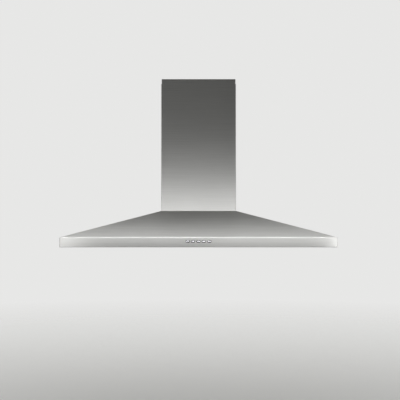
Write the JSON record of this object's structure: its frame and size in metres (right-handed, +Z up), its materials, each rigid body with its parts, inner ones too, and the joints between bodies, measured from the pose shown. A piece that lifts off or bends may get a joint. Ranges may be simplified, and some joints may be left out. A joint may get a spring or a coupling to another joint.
{
  "type": "wall mount range hood",
  "caption": "Wall mount range hood in brushed stainless steel: a low pyramid canopy with a row of push keys under a telescopic chimney, with grease filters, lamps, blower and damper.",
  "frame": {"origin": "on the wall plane, at the middle of the canopy's lower rear edge", "axes": "+X to the right seen from the front, +Y into the wall, +Z up"},
  "size_m": [1.2, 0.5008, 0.753],
  "materials": {
    "brushed_stainless": "fine brushed",
    "zinc_plated_steel": "plated",
    "spring_steel": "bright",
    "screw_steel": "bright",
    "filter_aluminium": "satin",
    "lamp_aluminium": "cast",
    "lamp_glass": "frosted",
    "light_board": "matte",
    "circuit_board": "matte",
    "silver_key_plastic": "satin",
    "black_plastic": "matte",
    "grey_plastic": "matte",
    "white_plastic": "gloss",
    "motor_paint": "satin",
    "motor_iron": "laminated",
    "motor_steel": "ground"
  },
  "bodies": {
    "hood": {"canopy_shell": "brushed_stainless", "chimney_lower": "brushed_stainless", "underpan": "brushed_stainless", "lamp_ring_left": "brushed_stainless", "lamp_ring_right": "brushed_stainless", "back_panel": "zinc_plated_steel", "wall_hooks": "zinc_plated_steel", "chimney_clips": "zinc_plated_steel", "blower_box": "zinc_plated_steel", "filter_hooks": "zinc_plated_steel", "motor_carrier": "zinc_plated_steel", "filter_leaf_springs": "spring_steel", "underpan_screws": "screw_steel", "lower_chimney_screws": "screw_steel", "key_board_screws": "screw_steel", "damper_pin": "screw_steel", "lamp_housing_left": "lamp_aluminium", "lamp_housing_right": "lamp_aluminium", "lamp_glass_left": "lamp_glass", "lamp_glass_right": "lamp_glass", "lamp_light_boards": "light_board", "key_board": "circuit_board", "key_housing": "black_plastic", "key_switches": "black_plastic", "scroll_left": "black_plastic", "scroll_right": "black_plastic", "duct_spigot": "black_plastic", "cable_gland": "black_plastic", "terminal_box": "grey_plastic", "terminal_lid": "grey_plastic", "lamp_driver": "grey_plastic", "run_capacitor": "white_plastic", "motor_can": "motor_paint", "motor_stator": "motor_iron", "motor_bearings": "motor_steel"},
    "fan": {"fan_wheel": "black_plastic", "motor_shaft": "motor_steel", "motor_rotor": "motor_iron"},
    "flap_front": {"damper_flap_front": "black_plastic"},
    "flap_rear": {"damper_flap_rear": "black_plastic"},
    "upper_section": {"chimney_upper": "brushed_stainless", "upper_bracket": "zinc_plated_steel", "upper_bracket_screws": "screw_steel"},
    "key_1": {"key_1": "silver_key_plastic"},
    "key_2": {"key_2": "silver_key_plastic"},
    "key_3": {"key_3": "silver_key_plastic"},
    "key_4": {"key_4": "silver_key_plastic"},
    "key_5": {"key_5": "silver_key_plastic"},
    "filter_left": {"filter_frame_left": "filter_aluminium", "filter_mesh_left": "filter_aluminium", "filter_pull_left": "brushed_stainless"},
    "filter_middle": {"filter_frame_middle": "filter_aluminium", "filter_mesh_middle": "filter_aluminium", "filter_pull_middle": "brushed_stainless"},
    "filter_right": {"filter_frame_right": "filter_aluminium", "filter_mesh_right": "filter_aluminium", "filter_pull_right": "brushed_stainless"}
  },
  "joints": [
    {"name": "key_1_press", "type": "slide", "parent": "hood", "child": "key_1", "axis": [0, 1, 0], "range_m": [0, 0.0025], "stiffness_N_per_m": 300, "springref_m": -0.003},
    {"name": "key_2_press", "type": "slide", "parent": "hood", "child": "key_2", "axis": [0, 1, 0], "range_m": [0, 0.0025], "stiffness_N_per_m": 300, "springref_m": -0.003},
    {"name": "key_3_press", "type": "slide", "parent": "hood", "child": "key_3", "axis": [0, 1, 0], "range_m": [0, 0.0025], "stiffness_N_per_m": 300, "springref_m": -0.003},
    {"name": "key_4_press", "type": "slide", "parent": "hood", "child": "key_4", "axis": [0, 1, 0], "range_m": [0, 0.0025], "stiffness_N_per_m": 300, "springref_m": -0.003},
    {"name": "key_5_press", "type": "slide", "parent": "hood", "child": "key_5", "axis": [0, 1, 0], "range_m": [0, 0.0025], "stiffness_N_per_m": 300, "springref_m": -0.003},
    {"name": "filter_left_swing", "type": "hinge", "parent": "hood", "child": "filter_left", "pos_m": [-0.328, -0.079, 0.019], "axis": [1, 0, 0], "range_deg": [0, 60]},
    {"name": "filter_middle_swing", "type": "hinge", "parent": "hood", "child": "filter_middle", "pos_m": [0, -0.079, 0.019], "axis": [1, 0, 0], "range_deg": [0, 60]},
    {"name": "filter_right_swing", "type": "hinge", "parent": "hood", "child": "filter_right", "pos_m": [0.328, -0.079, 0.019], "axis": [1, 0, 0], "range_deg": [0, 60]},
    {"name": "fan_spin", "type": "hinge", "parent": "hood", "child": "fan", "pos_m": [0, -0.135, 0.272], "axis": [1, 0, 0], "continuous": true},
    {"name": "flap_front_swing", "type": "hinge", "parent": "hood", "child": "flap_front", "pos_m": [0, -0.135, 0.444], "axis": [-1, 0, 0], "range_deg": [0, 75]},
    {"name": "flap_rear_swing", "type": "hinge", "parent": "hood", "child": "flap_rear", "pos_m": [0, -0.135, 0.444], "axis": [1, 0, 0], "range_deg": [0, 75]},
    {"name": "chimney_slide", "type": "slide", "parent": "hood", "child": "upper_section", "axis": [0, 0, 1], "range_m": [0, 0.4]}
  ]
}
